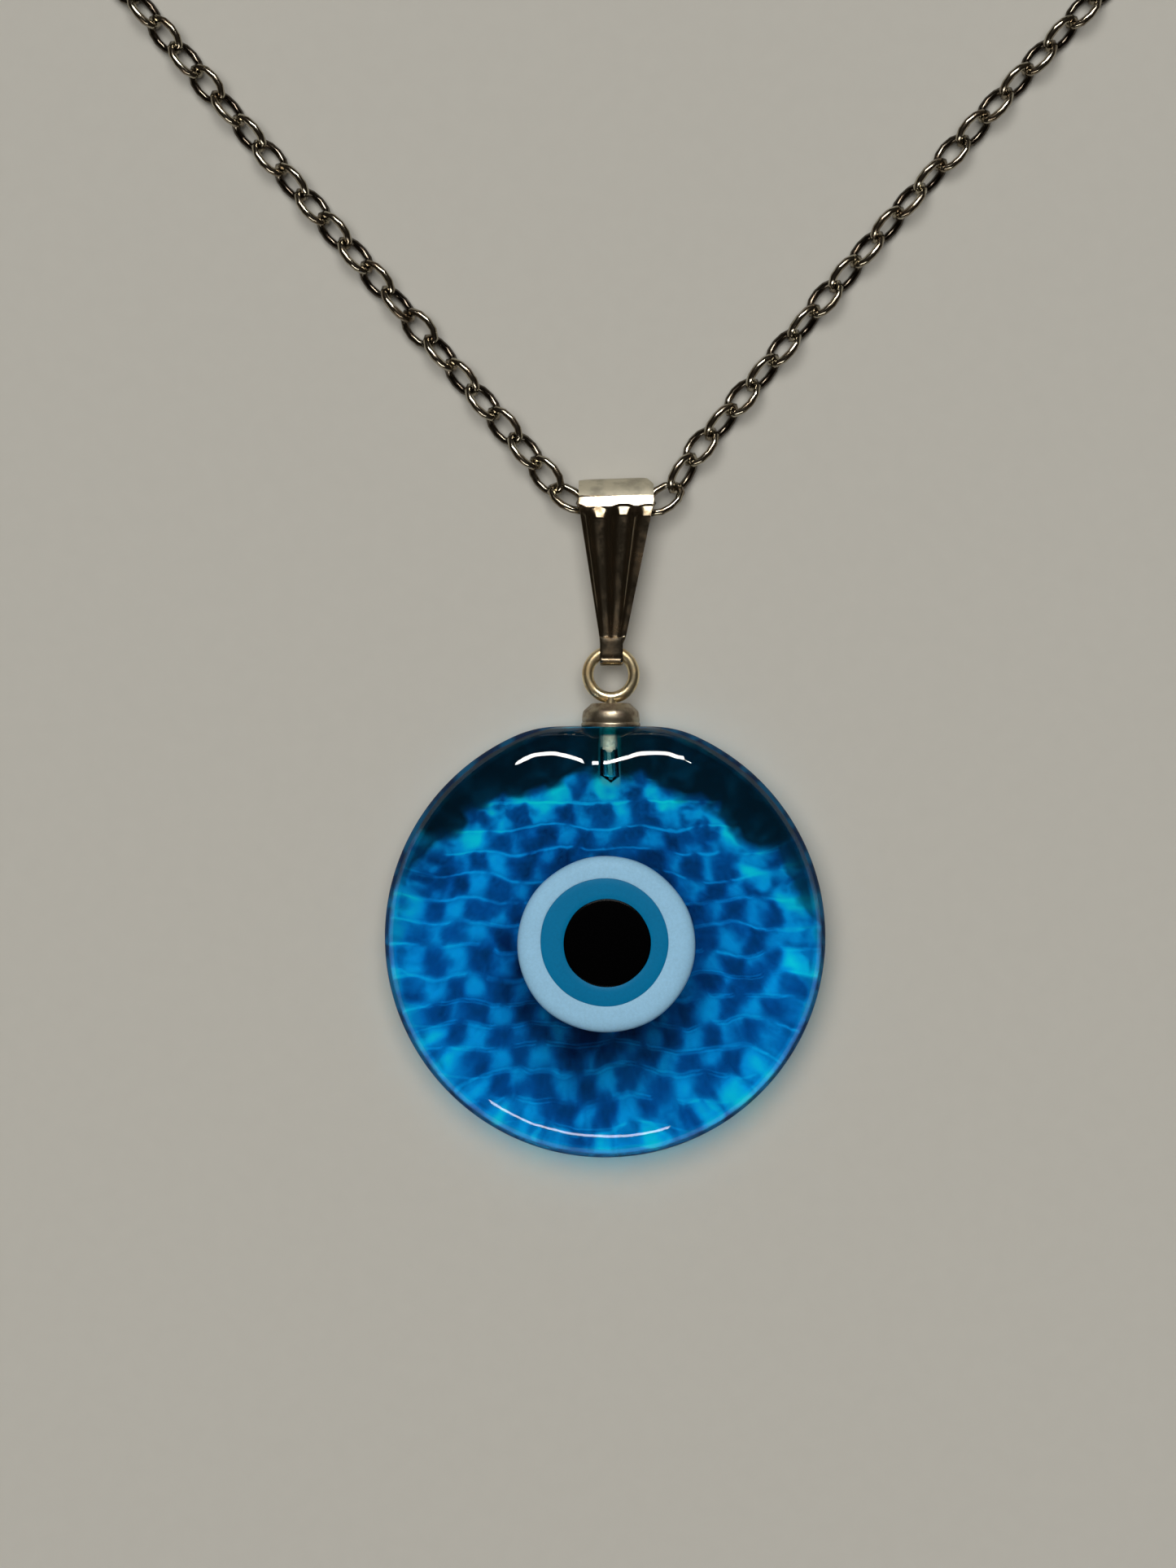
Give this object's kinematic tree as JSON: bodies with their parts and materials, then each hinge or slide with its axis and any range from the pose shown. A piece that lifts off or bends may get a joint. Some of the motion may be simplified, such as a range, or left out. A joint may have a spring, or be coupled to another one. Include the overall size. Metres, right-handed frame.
{
  "type": "evil eye pendant necklace",
  "caption": "Round blue glass evil eye pendant with a glued-in ring and cap, hung from a fluted bail on a fine cable chain with a lobster clasp.",
  "frame": {"origin": "centre of the glass disc's flat back", "axes": "+Y up the pendant from the disc to the bail, +Z out of the eye's face, +X to the right seen from the front; the necklace lies flat on a surface at z = 0"},
  "size_m": [0.073, 0.0928, 0.0055],
  "materials": {
    "eye_glass": "clear cyan-blue pressed glass, fire polished, gently rippled",
    "white_glass": "opaque bluish white glass layer, satin",
    "iris_glass": "opaque turquoise glass layer, satin",
    "pupil_glass": "opaque black glass layer, satin",
    "cap_metal": "gold-toned plate on brass, slightly rubbed",
    "pin_metal": "gold-toned plate on brass wire",
    "clear_cement": "clear jewellery cement",
    "bail_metal": "pale gold-toned plate on stamped brass",
    "chain_metal": "pale gold-toned plate on wire links",
    "clasp_metal": "pale gold-toned plate on cast clasp",
    "spring_steel": "bare spring wire"
  },
  "bodies": {
    "chain": {"chain_left_arm": "chain_metal", "chain_left_coil": "chain_metal", "chain_left_end": "chain_metal", "chain_right_arm": "chain_metal", "chain_right_coil": "chain_metal", "chain_right_end": "chain_metal", "left_end_link": "chain_metal", "right_end_link": "chain_metal"},
    "bail": {"bail": "bail_metal"},
    "pendant": {"glass_disc": "eye_glass", "eye_white": "white_glass", "eye_iris": "iris_glass", "eye_pupil": "pupil_glass", "cap_cup": "cap_metal", "eye_pin": "pin_metal", "pin_cement": "clear_cement"},
    "jump_ring": {"jump_ring": "chain_metal"},
    "clasp": {"clasp_body": "clasp_metal", "clasp_pivot_pin": "clasp_metal", "clasp_spring": "spring_steel"},
    "trigger": {"clasp_trigger": "clasp_metal"},
    "end_ring": {"end_ring": "chain_metal"}
  },
  "joints": [
    {"name": "bail_swing", "type": "hinge", "parent": "chain", "child": "bail", "pos_m": [0.00063, 0.02464, 0.00145], "axis": [-1, 0, 0], "range_deg": [0, 120]},
    {"name": "pendant_swing", "type": "hinge", "parent": "bail", "child": "pendant", "pos_m": [0.00033, 0.01491, 0.002], "axis": [0, 0, 1], "range_deg": [-75, 75]},
    {"name": "jump_ring_swing", "type": "hinge", "parent": "chain", "child": "jump_ring", "pos_m": [-0.00944, 0.0775, 0.001], "axis": [0, 0, 1], "range_deg": [-20, 20]},
    {"name": "clasp_swing", "type": "hinge", "parent": "jump_ring", "child": "clasp", "pos_m": [-0.00722, 0.0775, 0.0011], "axis": [0, 0, 1], "range_deg": [-60, 60]},
    {"name": "trigger_pull", "type": "hinge", "parent": "clasp", "child": "trigger", "pos_m": [-0.00405, 0.0766, 0.0011], "axis": [0, 0, 1], "range_deg": [0, 22], "stiffness_Nm_per_rad": 0.002, "springref_deg": -11.46},
    {"name": "end_ring_flip", "type": "hinge", "parent": "chain", "child": "end_ring", "pos_m": [0.00685, 0.0775, 0.001], "axis": [0, 1, 0], "range_deg": [0, 120]}
  ]
}
